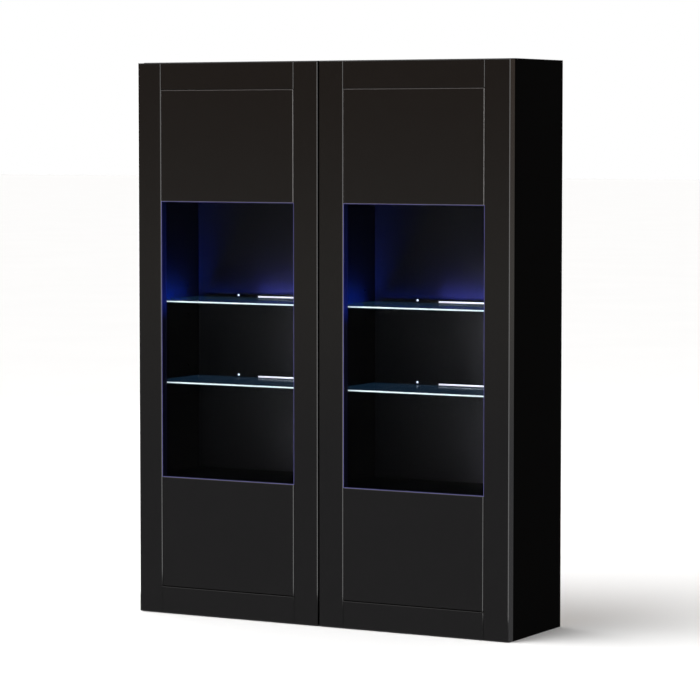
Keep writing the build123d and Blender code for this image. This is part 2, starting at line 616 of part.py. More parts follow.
for side, bay in bays.items():
    with BuildPart() as hinge_stile:
        slab(on_bay(bay, stile_inner, half_width), (door_front, door_back), (door_bottom, door_top))
        chamfer(hinge_stile.faces().sort_by(Axis.Y)[0].edges(), length=edge_break)
        slab(on_bay(bay, stile_inner, stile_inner + door_groove), groove_y, groove_z, Mode.SUBTRACT)
        slab(on_bay(bay, stile_inner, stile_inner + rebate_width), rebate_y, rebate_z, Mode.SUBTRACT)
        rail_dowels(bay, dowel_radius + snug, dowel_deep, Mode.SUBTRACT)
        for height in hinge_heights:
            cup_start = (bay * (half_width - cup_centre), door_back, height)
            rod(cup_start, (0, -1, 0), cup_radius + snug, cup_depth + snug, Mode.SUBTRACT)
            for offset in (-cup_screw_offset, cup_screw_offset):
                start = (cup_start[0], door_back, height + offset)
                rod(start, (0, -1, 0), cup_screw_radius + snug, cup_screw_length, Mode.SUBTRACT)
    save(hinge_stile, f"{side}_door_hinge_stile")

    with BuildPart() as meeting_stile:
        slab(on_bay(bay, door_inner_edge, meeting_inner), (door_front, door_back), (door_bottom, door_top))
        chamfer(meeting_stile.faces().sort_by(Axis.Y)[0].edges(), length=edge_break)
        slab(on_bay(bay, meeting_inner - door_groove, meeting_inner), groove_y, groove_z, Mode.SUBTRACT)
        slab(on_bay(bay, meeting_inner - rebate_width, meeting_inner), rebate_y, rebate_z, Mode.SUBTRACT)
        rail_dowels(bay, dowel_radius + snug, dowel_deep, Mode.SUBTRACT)
        strike_start = (bay * latch_centre, door_back, latch_height)
        rod(strike_start, (0, -1, 0), strike_radius + snug, strike_thickness, Mode.SUBTRACT)
    save(meeting_stile, f"{side}_door_meeting_stile")

    rails = (
        ("top", rail_top_z, (rail_top_z[0], rail_top_z[0] + door_groove)),
        ("bottom", rail_bottom_z, (rail_bottom_z[1] - door_groove, rail_bottom_z[1])),
    )
    for level, z, rail_groove_z in rails:
        with BuildPart() as rail:
            slab(on_bay(bay, meeting_inner, stile_inner), (door_front, door_back), z)
            chamfer(rail.faces().sort_by(Axis.Y)[0].edges(), length=edge_break)
            slab(on_bay(bay, meeting_inner, stile_inner), groove_y, rail_groove_z, Mode.SUBTRACT)
            rail_dowels(bay, dowel_radius + snug, dowel_deep, Mode.SUBTRACT)
        save(rail, f"{side}_door_{level}_rail")

    with BuildPart() as frame_dowels:
        rail_dowels(bay, dowel_radius, dowel_deep - fit, Mode.ADD)
    save(frame_dowels, f"{side}_door_frame_dowels")

    # Each panel is flush with the frame, a thin line short of it, and held by a tongue on three
    # sides. Its fourth side is an edge of the window, with the rebate for the pane behind.
    upper_panel_z = (window_top, rail_top_z[0] - panel_shadow_gap)
    upper_tongue_z = (rebate_z[1], rail_top_z[0] + tongue_length)
    lower_panel_z = (rail_bottom_z[1] + panel_shadow_gap, window_bottom)
    lower_tongue_z = (rail_bottom_z[1] - tongue_length, rebate_z[0])
    panel_x = on_bay(bay, meeting_inner + panel_shadow_gap, stile_inner - panel_shadow_gap)
    tongue_x = on_bay(bay, meeting_inner - tongue_length, stile_inner + tongue_length)
    for level, z, tongue_z in (
        ("upper", upper_panel_z, upper_tongue_z),
        ("lower", lower_panel_z, lower_tongue_z),
    ):
        with BuildPart() as panel:
            slab(panel_x, (door_front, door_back), z)
            chamfer(panel.faces().sort_by(Axis.Y)[0].edges(), length=edge_break)
            slab(tongue_x, tongue_y, tongue_z)
            slab(on_bay(bay, meeting_inner, stile_inner), rebate_y, rebate_z, Mode.SUBTRACT)
        save(panel, f"{side}_door_{level}_panel")

    pane_x = on_bay(
        bay,
        meeting_inner - rebate_width + pane_clearance,
        stile_inner + rebate_width - pane_clearance,
    )
    with BuildPart() as pane:
        slab(pane_x, pane_y, (rebate_z[0] + pane_clearance, rebate_z[1] - pane_clearance))
        chamfer(pane.edges(), length=edge_break / 2)
    save(pane, f"{side}_door_window_pane")

    bead_y = (pane_y[1], door_back)
    bead_width = rebate_width - fit
    with BuildPart() as glazing_beads:
        for z in ((rebate_z[0] + fit, window_bottom), (window_top, rebate_z[1] - fit)):
            slab(on_bay(bay, meeting_inner - bead_width, stile_inner + bead_width), bead_y, z)
        for x in ((meeting_inner - bead_width, meeting_inner), (stile_inner, stile_inner + bead_width)):
            slab(on_bay(bay, *x), bead_y, (window_bottom + fit, window_top - fit))
    save(glazing_beads, f"{side}_door_glazing_beads")

    with BuildPart() as hinge_cups:
        for height in hinge_heights:
            cup_x = bay * (half_width - cup_centre)
            wing_x = (cup_x - wing_width / 2, cup_x + wing_width / 2)
            wing_y = (door_back, door_back + wing_thickness)
            slab(wing_x, wing_y, (height - wing_half_height, height + wing_half_height))
            rod((cup_x, door_back, height), (0, -1, 0), cup_radius, cup_depth)
            inner_start = (cup_x, door_back + wing_thickness, height)
            inner_length = cup_depth - cup_floor + wing_thickness
            rod(inner_start, (0, -1, 0), cup_radius - cup_wall, inner_length, Mode.SUBTRACT)
            pin_start = (bay * hinge_axis_x, hinge_axis_y, height - cup_radius)
            rod(pin_start, (0, 0, 1), pin_radius + snug / 2, 2 * cup_radius, Mode.SUBTRACT)
            for offset in (-cup_screw_offset, cup_screw_offset):
                start = (cup_x, door_back, height + offset)
                rod(start, (0, 1, 0), cup_screw_radius + snug, wing_thickness, Mode.SUBTRACT)
    save(hinge_cups, f"{side}_door_hinge_cups")

    # The pin spans the cup and ends inside its wall, which is nearest at the pin's outer side.
    pin_chord = (cup_radius**2 - (cup_centre - hinge_axis_inset + pin_radius) ** 2) ** 0.5
    with BuildPart() as hinge_pins:
        for height in hinge_heights:
            pin_half = pin_chord - cup_wall / 2
            start = (bay * hinge_axis_x, hinge_axis_y, height - pin_half)
            rod(start, (0, 0, 1), pin_radius, 2 * pin_half)
    save(hinge_pins, f"{side}_door_hinge_pins")

    with BuildPart() as cup_screws:
        for height in hinge_heights:
            for offset in (-cup_screw_offset, cup_screw_offset):
                x, z = bay * (half_width - cup_centre), height + offset
                foot = (x, door_back - cup_screw_length + fit, z)
                rod(foot, (0, 1, 0), cup_screw_radius, cup_screw_length - fit + wing_thickness)
                rod((x, door_back + wing_thickness, z), (0, 1, 0), cup_screw_head, cup_screw_head_height)
    save(cup_screws, f"{side}_door_cup_screws")

    with BuildPart() as strike_plate:
        strike_start = (bay * latch_centre, door_back, latch_height)
        rod(strike_start, (0, -1, 0), strike_radius, strike_thickness)
    save(strike_plate, f"{side}_door_strike_plate")
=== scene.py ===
# %% [markdown]
# # A wall-hung china cabinet with glass doors
# The cabinet was drawn as an assembly, and that drawing arrives here as a fixed frame of named
# parts. This notebook gives every part the finish of its real material, swaps a few plain solids
# for finer pieces that sit in the same place, and sets up a small studio. All lengths are in
# metres: +Z is up and the doors face -Y.

import json
import math

import bmesh
import bpy
from mathutils import Matrix, Vector


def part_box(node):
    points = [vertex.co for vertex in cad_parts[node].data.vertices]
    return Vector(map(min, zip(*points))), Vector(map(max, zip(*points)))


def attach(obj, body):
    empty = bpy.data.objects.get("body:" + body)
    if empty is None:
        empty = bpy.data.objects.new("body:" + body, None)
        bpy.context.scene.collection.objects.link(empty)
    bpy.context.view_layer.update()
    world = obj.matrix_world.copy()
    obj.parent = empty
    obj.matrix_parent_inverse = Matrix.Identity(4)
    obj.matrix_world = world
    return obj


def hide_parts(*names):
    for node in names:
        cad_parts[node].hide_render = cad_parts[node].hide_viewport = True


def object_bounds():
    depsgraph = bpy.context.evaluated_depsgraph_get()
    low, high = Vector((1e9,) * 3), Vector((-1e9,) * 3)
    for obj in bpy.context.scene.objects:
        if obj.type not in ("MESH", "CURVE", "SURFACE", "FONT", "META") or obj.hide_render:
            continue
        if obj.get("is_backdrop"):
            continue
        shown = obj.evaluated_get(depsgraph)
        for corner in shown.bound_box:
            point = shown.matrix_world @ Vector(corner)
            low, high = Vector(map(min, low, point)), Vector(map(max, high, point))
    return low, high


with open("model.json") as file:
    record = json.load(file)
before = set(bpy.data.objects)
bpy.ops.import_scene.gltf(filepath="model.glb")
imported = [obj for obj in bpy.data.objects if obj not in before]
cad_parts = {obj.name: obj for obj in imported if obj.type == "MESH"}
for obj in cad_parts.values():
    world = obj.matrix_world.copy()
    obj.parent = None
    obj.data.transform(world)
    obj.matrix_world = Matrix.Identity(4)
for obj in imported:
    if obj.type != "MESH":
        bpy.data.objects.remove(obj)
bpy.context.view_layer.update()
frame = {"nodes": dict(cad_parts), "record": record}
nodes = frame["nodes"]
slot_of = {row["node"]: row["material_slot"] for row in frame["record"]["subparts"]}

# %% [markdown]
# ## Small tools
# Paint and plastic colours are known as sRGB hex values, while shaders work in linear light, so
# one function converts them. Materials are node trees, and one function adds a node with its
# settings and its links, which keeps each recipe short enough to read from top to bottom.

# %% Colour and node tools
MM = 0.001


def linear(code):
    """The linear colour, with alpha, of an sRGB hex value."""
    channels = [int(code[i:i + 2], 16) / 255 for i in (1, 3, 5)]
    lit = [c / 12.92 if c <= 0.04045 else ((c + 0.055) / 1.055) ** 2.4 for c in channels]
    return (*lit, 1.0)


def add_node(tree, kind, settings=None, links=None):
    """Add one node. Settings are sockets or properties; links are input: (node, output)."""
    node = tree.nodes.new(kind)

    def socket(sockets, key):
        usable = [s for s in sockets if s.enabled]
        return usable[key] if isinstance(key, int) else next(s for s in usable if s.name == key)

    for key, value in (settings or {}).items():
        if isinstance(key, str) and hasattr(node, key):
            setattr(node, key, value)
        else:
            socket(node.inputs, key).default_value = value
    for key, (source, output) in (links or {}).items():
        tree.links.new(socket(source.outputs, output), socket(node.inputs, key))
    return node


def start_material(name):
    """An empty material, with the object's own coordinates in metres and an output."""
    material = bpy.data.materials.new(name)
    material.use_nodes = True
    tree = material.node_tree
    tree.nodes.clear()
    coordinates = add_node(tree, "ShaderNodeTexCoord")
    output = add_node(tree, "ShaderNodeOutputMaterial")
    return material, tree, coordinates, output


def finish_material(tree, output, shader):
    """Join a shader to the output."""
    tree.links.new(shader.outputs[0], output.inputs["Surface"])


print("a near-black in linear light:", [round(c, 4) for c in linear("#0B0A0A")])

# %% [markdown]
# ## High-gloss black lacquer
# The doors are MDF sprayed with black polyester lacquer and buffed. The colour is almost pure
# black, so what the eye gets is a mirror of the room, slightly rippled, because a sprayed coat
# never lies quite flat. A flat black with a sharp gloss would look like glass, so a very shallow
# ripple about 9 mm across bends the reflections, and a finer cloudiness in the roughness stands
# for buffing haze. The upper panels' bevelled edges have a satin roughness and a pale grey colour,
# a painted highlight that draws a pale outline; the surface's own normal picks out the faces
# that slope.

# %% Lacquer
bevel_normal_y = -0.707
bevel_tolerance = 0.12


def make_lacquer(name, bevel_colour, bevel_roughness):
    material, tree, coordinates, output = start_material(name)
    haze = add_node(tree, "ShaderNodeTexNoise", {"Scale": 1 / (35 * MM), "Detail": 4.0},
                    {"Vector": (coordinates, "Object")})
    tint = add_node(tree, "ShaderNodeValToRGB", {}, {"Fac": (haze, "Fac")})
    tint.color_ramp.elements[0].color = linear("#060505")
    tint.color_ramp.elements[1].color = linear("#0A0909")
    roughness = add_node(tree, "ShaderNodeMapRange", {"To Min": 0.025, "To Max": 0.06},
                         {"Value": (haze, "Fac")})
    ripple = add_node(tree, "ShaderNodeTexNoise", {"Scale": 1 / (9 * MM), "Detail": 1.0},
                      {"Vector": (coordinates, "Object")})
    bump = add_node(tree, "ShaderNodeBump", {"Strength": 0.25, "Distance": 0.01 * MM},
                    {"Height": (ripple, "Fac")})
    normal = add_node(tree, "ShaderNodeSeparateXYZ", {}, {"Vector": (coordinates, "Normal")})
    sloping = add_node(tree, "ShaderNodeMath",
                       {"operation": "COMPARE", 1: bevel_normal_y, 2: bevel_tolerance},
                       {0: (normal, "Y")})
    # The bevel colour: near black on the plain lacquer, a pale grey painted highlight on the
    # other.
    colour = add_node(tree, "ShaderNodeMix", {"data_type": "RGBA", "B": linear(bevel_colour)},
                      {"Factor": (sloping, "Value"), "A": (tint, "Color")})
    gloss = add_node(tree, "ShaderNodeMix", {"data_type": "FLOAT", "B": bevel_roughness},
                     {"Factor": (sloping, "Value"), "A": (roughness, "Result")})
    shader = add_node(tree, "ShaderNodeBsdfPrincipled", {"IOR": 1.5},
                      {"Base Color": (colour, "Result"), "Roughness": (gloss, "Result"),
                       "Normal": (bump, "Normal")})
    finish_material(tree, output, shader)
    return material


finishes = {"gloss_lacquer": make_lacquer("black_polyester_lacquer", "#090808",
                                          bevel_roughness=0.04)}
# The pale grey of its bevels is a painted highlight.
lacquer_painted_bevel_highlight = make_lacquer("lacquer_satin_bevels_painted_highlight", "#545150", bevel_roughness=0.12)
print("lacquers:", finishes["gloss_lacquer"].name, lacquer_painted_bevel_highlight.name)

# %% [markdown]
# ## Matt black melamine board
# The carcass is chipboard faced with black melamine paper. Pressed against a textured plate, it
# gets a fine pebbled skin that scatters light, so it reads as a deep, even black with no
# reflections. The pebble is really about 0.4 mm across. It is drawn 1.2 mm across, so that it can
# show at all.

# %% Melamine
def make_melamine():
    material, tree, coordinates, output = start_material("black_melamine_board")
    pebble = add_node(tree, "ShaderNodeTexNoise", {"Scale": 1 / (1.2 * MM), "Detail": 2.0},
                      {"Vector": (coordinates, "Object")})
    rubbed = add_node(tree, "ShaderNodeTexNoise", {"Scale": 1 / (120 * MM), "Detail": 3.0},
                      {"Vector": (coordinates, "Object")})
    tint = add_node(tree, "ShaderNodeValToRGB", {}, {"Fac": (rubbed, "Fac")})
    tint.color_ramp.elements[0].color = linear("#040404")
    tint.color_ramp.elements[1].color = linear("#070707")
    roughness = add_node(tree, "ShaderNodeMapRange", {"To Min": 0.55, "To Max": 0.7},
                         {"Value": (rubbed, "Fac")})
    bump = add_node(tree, "ShaderNodeBump", {"Strength": 0.3, "Distance": 0.03 * MM},
                    {"Height": (pebble, "Fac")})
    shader = add_node(tree, "ShaderNodeBsdfPrincipled", {"IOR": 1.45, "Specular IOR Level": 0.01},
                      {"Base Color": (tint, "Color"), "Roughness": (roughness, "Result"),
                       "Normal": (bump, "Normal")})
    finish_material(tree, output, shader)
    return material


finishes["matt_black_board"] = make_melamine()
print("board:", finishes["matt_black_board"].name)

# %% [markdown]
# ## Black-faced hardboard
# The backs are 3 mm hardboard: fibres pressed into a sheet, printed black on the side that faces
# the room with a faint upright grain, and left brown with the mesh of the press on the side that
# faces the wall. Both sides belong to one sheet, so one material holds both, and the surface's
# own normal says which side is which.

# %% Hardboard
def make_hardboard():
    material, tree, coordinates, output = start_material("black_faced_hardboard")
    stretched = add_node(tree, "ShaderNodeMapping", {"Scale": (1.0, 1.0, 0.035)},
                         {"Vector": (coordinates, "Object")})
    grain = add_node(tree, "ShaderNodeTexNoise", {"Scale": 1 / (3.5 * MM), "Detail": 4.0},
                     {"Vector": (stretched, "Vector")})
    face = add_node(tree, "ShaderNodeValToRGB", {}, {"Fac": (grain, "Fac")})
    face.color_ramp.elements[0].position = 0.3
    face.color_ramp.elements[0].color = linear("#0E0E10")
    face.color_ramp.elements[1].position = 0.75
    face.color_ramp.elements[1].color = linear("#17171A")
    fibres = add_node(tree, "ShaderNodeTexNoise", {"Scale": 1 / (2.5 * MM), "Detail": 6.0},
                      {"Vector": (coordinates, "Object")})
    reverse = add_node(tree, "ShaderNodeValToRGB", {}, {"Fac": (fibres, "Fac")})
    reverse.color_ramp.elements[0].position = 0.3
    reverse.color_ramp.elements[0].color = linear("#4A3320")
    reverse.color_ramp.elements[1].position = 0.7
    reverse.color_ramp.elements[1].color = linear("#6F5135")
    normal = add_node(tree, "ShaderNodeSeparateXYZ", {}, {"Vector": (coordinates, "Normal")})
    behind = add_node(tree, "ShaderNodeMath", {"operation": "GREATER_THAN", 1: 0.5},
                      {0: (normal, "Y")})
    colour = add_node(tree, "ShaderNodeMix", {"data_type": "RGBA"},
                      {"Factor": (behind, "Value"), "A": (face, "Color"), "B": (reverse, "Color")})
    bump = add_node(tree, "ShaderNodeBump", {"Strength": 0.35, "Distance": 0.05 * MM},
                    {"Height": (fibres, "Fac")})
    shader = add_node(tree, "ShaderNodeBsdfPrincipled",
                      {"IOR": 1.45, "Roughness": 0.6, "Specular IOR Level": 0.2},
                      {"Base Color": (colour, "Result"), "Normal": (bump, "Normal")})
    finish_material(tree, output, shader)
    return material


finishes["black_hardboard"] = make_hardboard()
print("backs:", finishes["black_hardboard"].name)

# %% [markdown]
# ## Glass
# The panes are 4 mm clear float glass and the shelves 5 mm toughened glass. Clear glass shows
# itself by what it mirrors, by the way it bends what is behind it, and by its edges, where light
# that has run through the sheet comes out. The faces are a transmitting shader with a trace of
# green, and the shelf faces also give off a faint painted blue glow. The shelves' front edges are
# ground and polished, and the light from the clips behind that comes out there is painted on them
# as a cool white glow, in a finish of their own.

# %% Glass
def make_glass(name, tint, ior):
    material, tree, coordinates, output = start_material(name)
    film = add_node(tree, "ShaderNodeTexNoise", {"Scale": 1 / (60 * MM), "Detail": 2.0},
                    {"Vector": (coordinates, "Object")})
    roughness = add_node(tree, "ShaderNodeMapRange", {"To Min": 0.0, "To Max": 0.02},
                         {"Value": (film, "Fac")})
    colour = add_node(tree, "ShaderNodeValToRGB", {}, {"Fac": (film, "Fac")})
    colour.color_ramp.elements[0].color = linear(tint)
    colour.color_ramp.elements[1].color = linear("#FFFFFF")
    shader = add_node(tree, "ShaderNodeBsdfPrincipled", {"IOR": ior, "Transmission Weight": 1.0},
                      {"Base Color": (colour, "Color"), "Roughness": (roughness, "Result")})
    finish_material(tree, output, shader)
    return material


def make_shelf_glass():
    material, tree, coordinates, output = start_material("toughened_shelf_glass")
    film = add_node(tree, "ShaderNodeTexNoise", {"Scale": 1 / (60 * MM), "Detail": 2.0},
                    {"Vector": (coordinates, "Object")})
    colour = add_node(tree, "ShaderNodeValToRGB", {}, {"Fac": (film, "Fac")})
    colour.color_ramp.elements[0].color = linear("#DDF0EC")
    colour.color_ramp.elements[1].color = linear("#F4FBFA")
    # A faint blue emission on the shelf faces: painted light, not a lamp.
    shelf_painted_glow = add_node(tree, "ShaderNodeValToRGB", {}, {"Fac": (film, "Fac")})
    shelf_painted_glow.color_ramp.elements[0].color = linear("#040F1B")
    shelf_painted_glow.color_ramp.elements[1].color = linear("#081521")
    shader = add_node(tree, "ShaderNodeBsdfPrincipled",
                      {"IOR": 1.5, "Transmission Weight": 1.0, "Roughness": 0.02,
                       "Emission Strength": 1.0},
                      {"Base Color": (colour, "Color"), "Emission Color": (shelf_painted_glow, "Color")})
    finish_material(tree, output, shader)
    return material


def make_lit_edge():
    material, tree, coordinates, output = start_material("polished_glass_edge_painted_glow")
    grind = add_node(tree, "ShaderNodeTexNoise", {"Scale": 1 / (6 * MM), "Detail": 3.0},
                     {"Vector": (coordinates, "Object")})
    glow = add_node(tree, "ShaderNodeValToRGB", {}, {"Fac": (grind, "Fac")})
    glow.color_ramp.elements[0].color = linear("#C9DCDB")
    glow.color_ramp.elements[1].color = linear("#E6ECF2")
    # The emission is a painted glow that stands in for the clips' light leaving the edge.
    shader = add_node(tree, "ShaderNodeBsdfPrincipled",
                      {"IOR": 1.5, "Roughness": 0.15, "Emission Strength": 0.6},
                      {"Base Color": (glow, "Color"), "Emission Color": (glow, "Color")})
    finish_material(tree, output, shader)
    return material


finishes["window_glass"] = make_glass("clear_float_glass", "#F2F6F5", ior=1.06)
finishes["shelf_glass"] = make_shelf_glass()
shelf_edge_painted_glow = make_lit_edge()
print("glasses:", [finishes[slot].name for slot in ("window_glass", "shelf_glass")])

# %% [markdown]
# ## Metal fittings
# Hinges, plates, pins and screws are steel with a bright nickel plate, and the cams are die-cast
# zinc. Nickel is a warm grey mirror with a faint drawn grain from rolling. Cast zinc is duller
# and cooler, with the fine blisters of the die. A metal shader takes the colour of the metal
# itself, and its roughness does the rest.

# %% Metals
def make_metal(name, low, high, grain_mm, stretch, rough_low, rough_high, relief_mm):
    material, tree, coordinates, output = start_material(name)
    drawn = add_node(tree, "ShaderNodeMapping", {"Scale": (1.0, 1.0, stretch)},
                     {"Vector": (coordinates, "Object")})
    grain = add_node(tree, "ShaderNodeTexNoise", {"Scale": 1 / (grain_mm * MM), "Detail": 4.0},
                     {"Vector": (drawn, "Vector")})
    colour = add_node(tree, "ShaderNodeValToRGB", {}, {"Fac": (grain, "Fac")})
    colour.color_ramp.elements[0].color = linear(low)
    colour.color_ramp.elements[1].color = linear(high)
    roughness = add_node(tree, "ShaderNodeMapRange", {"To Min": rough_low, "To Max": rough_high},
                         {"Value": (grain, "Fac")})
    bump = add_node(tree, "ShaderNodeBump", {"Strength": 0.4, "Distance": relief_mm * MM},
                    {"Height": (grain, "Fac")})
    shader = add_node(tree, "ShaderNodeBsdfPrincipled", {"Metallic": 1.0},
                      {"Base Color": (colour, "Color"), "Roughness": (roughness, "Result"),
                       "Normal": (bump, "Normal")})
    finish_material(tree, output, shader)
    return material


finishes["nickel_plated_steel"] = make_metal(
    "bright_nickel_plate", "#B5B1A8", "#CFCBC2", grain_mm=0.8, stretch=0.1, rough_low=0.16,
    rough_high=0.3, relief_mm=0.01)
finishes["zinc_alloy"] = make_metal(
    "die_cast_zinc", "#8C8E92", "#A9ABAE", grain_mm=0.6, stretch=1.0, rough_low=0.35,
    rough_high=0.5, relief_mm=0.03)
print("metals:", [finishes[slot].name for slot in ("nickel_plated_steel", "zinc_alloy")])

# %% [markdown]
# ## Wood
# The dowels are turned beech, with short brown flecks in a pinkish ground, and the battens that
# the cabinet hangs from are planed pine, with growth rings that a saw has cut into long bands. A
# wave would draw them too evenly, so stretched noise makes the bands, and each wood has its own
# ring width.

# %% Woods
def make_wood(name, light, dark, ring_mm, along):
    material, tree, coordinates, output = start_material(name)
    stretched = add_node(tree, "ShaderNodeMapping", {"Scale": along},
                         {"Vector": (coordinates, "Object")})
    rings = add_node(tree, "ShaderNodeTexNoise",
                     {"Scale": 1 / (ring_mm * MM), "Detail": 2.0, "Distortion": 0.5},
                     {"Vector": (stretched, "Vector")})
    pores = add_node(tree, "ShaderNodeTexNoise", {"Scale": 1 / (1.5 * MM), "Detail": 5.0},
                     {"Vector": (stretched, "Vector")})
    mixed = add_node(tree, "ShaderNodeMath", {"operation": "MULTIPLY"},
                     {0: (rings, "Fac"), 1: (pores, "Fac")})
    colour = add_node(tree, "ShaderNodeValToRGB", {}, {"Fac": (mixed, "Value")})
    colour.color_ramp.elements[0].position = 0.12
    colour.color_ramp.elements[0].color = linear(dark)
    colour.color_ramp.elements[1].position = 0.4
    colour.color_ramp.elements[1].color = linear(light)
    bump = add_node(tree, "ShaderNodeBump", {"Strength": 0.4, "Distance": 0.05 * MM},
                    {"Height": (pores, "Fac")})
    shader = add_node(tree, "ShaderNodeBsdfPrincipled", {"IOR": 1.45, "Roughness": 0.6},
                      {"Base Color": (colour, "Color"), "Normal": (bump, "Normal")})
    finish_material(tree, output, shader)
    return material


finishes["beech"] = make_wood("turned_beech", "#C99E72", "#9A6C45", ring_mm=2.0,
                              along=(0.15, 1.0, 1.0))
finishes["pine_batten"] = make_wood("planed_pine", "#D2AC78", "#A97B45", ring_mm=5.0,
                                    along=(0.06, 1.0, 1.0))
print("woods:", [finishes[slot].name for slot in ("beech", "pine_batten")])

# %% [markdown]
# ## Plastics and rubber
# The clips, driver case, grommets and latches are moulded plastic, and the bumpers are soft
# rubber. A mould is spark-eroded, so its plastic comes out with a fine even pebble that breaks up
# the shine. One recipe serves them all. Each row of its table holds a name, a darker and a lighter
# colour, the pebble's size in mm, the lowest and highest roughness, and the pebble's depth in mm.

# %% Plastics
def make_plastic(name, low, high, pebble_mm, rough_low, rough_high, relief_mm):
    material, tree, coordinates, output = start_material(name)
    pebble = add_node(tree, "ShaderNodeTexNoise", {"Scale": 1 / (pebble_mm * MM), "Detail": 2.0},
                      {"Vector": (coordinates, "Object")})
    colour = add_node(tree, "ShaderNodeValToRGB", {}, {"Fac": (pebble, "Fac")})
    colour.color_ramp.elements[0].color = linear(low)
    colour.color_ramp.elements[1].color = linear(high)
    roughness = add_node(tree, "ShaderNodeMapRange", {"To Min": rough_low, "To Max": rough_high},
                         {"Value": (pebble, "Fac")})
    bump = add_node(tree, "ShaderNodeBump", {"Strength": 0.4, "Distance": relief_mm * MM},
                    {"Height": (pebble, "Fac")})
    shader = add_node(tree, "ShaderNodeBsdfPrincipled", {"IOR": 1.5},
                      {"Base Color": (colour, "Color"), "Roughness": (roughness, "Result"),
                       "Normal": (bump, "Normal")})
    finish_material(tree, output, shader)
    return material


plastics = {
    "clip_plastic": ("smoked_polycarbonate", "#101014", "#1B1B20", 1.0, 0.15, 0.25, 0.01),
    "black_plastic": ("moulded_abs", "#101010", "#1A1A1A", 0.9, 0.4, 0.55, 0.04),
    "plunger_plastic": ("grey_acetal", "#3A3A3C", "#4A4A4D", 1.2, 0.3, 0.4, 0.02),
    "bumper_rubber": ("soft_rubber", "#0D0D0D", "#171717", 1.4, 0.7, 0.85, 0.03),
}
for slot, recipe in plastics.items():
    finishes[slot] = make_plastic(*recipe)
print("plastics:", [recipe[0] for recipe in plastics.values()])

# %% [markdown]
# ## Lit plastic
# Each clip shines through a strip of opal acrylic, and each small spot through a frosted dome.
# Light scatters inside the plastic, so it seems to glow all over, a little less where the diodes
# are far apart. Emission on the plastic gives that glow. Its strength is near 1, so that it looks
# white to the eye without flooding the cabinet. The clear seal round each window picks up a trace
# of that light, painted on its lip as a lavender highlight, and the black bead behind it, with the
# seal's body, takes a deep blue from the lamps, painted as a glow that is strongest at the height
# of the upper shelf, so a ramp over the height gives its colour.

# %% Lit plastics
glow_below, glow_above = 400 * MM, 220 * MM


def make_glowing(name, low, high, strength, patch_mm):
    material, tree, coordinates, output = start_material(name)
    patches = add_node(tree, "ShaderNodeTexNoise", {"Scale": 1 / (patch_mm * MM), "Detail": 1.0},
                       {"Vector": (coordinates, "Object")})
    glow = add_node(tree, "ShaderNodeValToRGB", {}, {"Fac": (patches, "Fac")})
    glow.color_ramp.elements[0].color = linear(low)
    glow.color_ramp.elements[1].color = linear(high)
    shader = add_node(tree, "ShaderNodeBsdfPrincipled",
                      {"IOR": 1.49, "Roughness": 0.35, "Emission Strength": strength},
                      {"Base Color": (glow, "Color"), "Emission Color": (glow, "Color")})
    finish_material(tree, output, shader)
    return material


def make_painted_blue_glow_plastic(name, roughness):
    """Dark seal or bead beside the glass, with a painted blue glow near the height of the upper
    shelf.
    """
    material, tree, coordinates, output = start_material(name)
    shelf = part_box("left_upper_glass_shelf")[1].z
    part = add_node(tree, "ShaderNodeSeparateXYZ", {}, {"Vector": (coordinates, "Object")})
    height = add_node(tree, "ShaderNodeMapRange",
                      {"From Min": shelf - glow_below, "From Max": shelf + glow_above},
                      {"Value": (part, "Z")})
    glow = add_node(tree, "ShaderNodeValToRGB", {}, {"Fac": (height, "Result")})
    glow.color_ramp.elements[0].color = linear("#05050E")
    glow.color_ramp.elements[1].color = linear("#05081E")
    for position, colour in ((0.58, "#060615"), (0.645, "#0C165A"), (0.75, "#080C38")):
        glow.color_ramp.elements.new(position).color = linear(colour)
    shader = add_node(tree, "ShaderNodeBsdfPrincipled",
                      {"Base Color": linear("#050508"), "IOR": 1.4, "Roughness": roughness,
                       "Specular IOR Level": 0.1, "Emission Strength": 1.0},
                      {"Emission Color": (glow, "Color")})
    finish_material(tree, output, shader)
    return material


finishes["led_diffuser"] = make_glowing("opal_acrylic", "#E9E7FF", "#F6F5FF", strength=0.8,
                                        patch_mm=12.0)
finishes["led_spot"] = make_glowing("frosted_dome", "#C8D8FF", "#E6EEFF", strength=1.2,
                                    patch_mm=3.0)
# The bead, the seal's body and the seal's lip are no lamps: their emission is painted light.
finishes["glazing_bead"] = make_painted_blue_glow_plastic("black_bead_with_painted_blue_glow", roughness=0.4)
seal_body_painted_shade = make_painted_blue_glow_plastic("silicone_seal_body_painted_shade", roughness=0.3)
seal_lip_painted_highlight = make_glowing("silicone_seal_lip_painted_highlight", "#3C3A6A", "#55538C", strength=0.7, patch_mm=40.0)
print("lit plastics:", seal_lip_painted_highlight.name, seal_body_painted_shade.name, finishes["glazing_bead"].name)

# %% [markdown]
# ## Every slot and its finish
# The drawing gives each part a material slot, which is a name for what it is made of. Every part
# now takes the finish of its slot, and only the upper door panels take the lacquer with satin
# bevels, whose pale grey is a painted highlight.

# %% Finishes on the drawn parts
for name, node in nodes.items():
    node.data.materials.clear()
    outlined = name.endswith("_door_upper_panel")
    node.data.materials.append(lacquer_painted_bevel_highlight if outlined else finishes[slot_of[name]])
print("finishes:", len(finishes), "slots in use:", len(set(slot_of.values())))

# %% [markdown]
# ## Building finer pieces
# Some small parts are plain in the drawing and deserve more shape: screws with a driver recess,
# domed bumpers and lamps, shelves with ground edges. Each takes its place from the solid that it
# stands for, so a tool lists the solids of a node, and two more tools add boxes and turned shapes
# to a mesh.

# %% Mesh tools
weld_distance = 0.001 * MM


